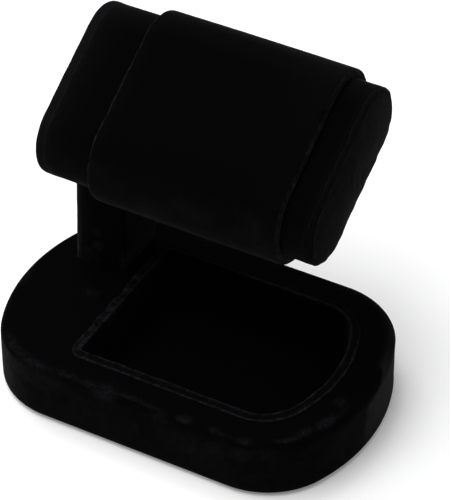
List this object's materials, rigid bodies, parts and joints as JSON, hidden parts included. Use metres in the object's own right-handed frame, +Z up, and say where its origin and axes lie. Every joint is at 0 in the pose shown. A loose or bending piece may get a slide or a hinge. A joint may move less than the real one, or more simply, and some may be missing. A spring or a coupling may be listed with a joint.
{
  "type": "watch display stand",
  "caption": "Velvet-covered watch stand: oval base with a sunk tray, a side post and a tilted cantilevered roll carrying a padded slide-off cuff.",
  "frame": {"origin": "middle of the base's underside, on the surface that the stand rests on", "axes": "+X along the base to the free end of the roll, -Y towards the viewer, +Z up"},
  "size_m": [0.13, 0.0963, 0.1112],
  "materials": {
    "black_velvet": "short black pile, very dark, light only where it is seen at a grazing angle",
    "black_felt": "matte pressed felt",
    "fibreboard": "raw medium density fibreboard",
    "grey_card": "raw grey board",
    "foam": "open-cell foam sheet",
    "wadding": "polyester wadding",
    "zinc_screw": "zinc-plated"
  },
  "bodies": {
    "stand": {"base_block": "fibreboard", "base_board": "fibreboard", "base_velvet": "black_velvet", "base_felt": "black_felt", "tray_wall_card": "grey_card", "tray_wall_velvet": "black_velvet", "tray_floor_card": "grey_card", "tray_floor_velvet": "black_velvet", "post_block": "fibreboard", "post_velvet": "black_velvet", "post_screws": "zinc_screw", "roll_core": "fibreboard", "roll_velvet": "black_velvet", "roll_screws": "zinc_screw", "left_end_card": "grey_card", "left_end_wadding": "wadding", "left_end_velvet": "black_velvet", "right_end_card": "grey_card", "right_end_wadding": "wadding", "right_end_velvet": "black_velvet"},
    "cuff": {"cuff_lining": "black_velvet", "cuff_card": "grey_card", "cuff_foam": "foam", "cuff_velvet": "black_velvet"}
  },
  "joints": [
    {"name": "cuff_slide", "type": "slide", "parent": "stand", "child": "cuff", "axis": [1, 0, 0], "range_m": [0, 0.085]}
  ]
}
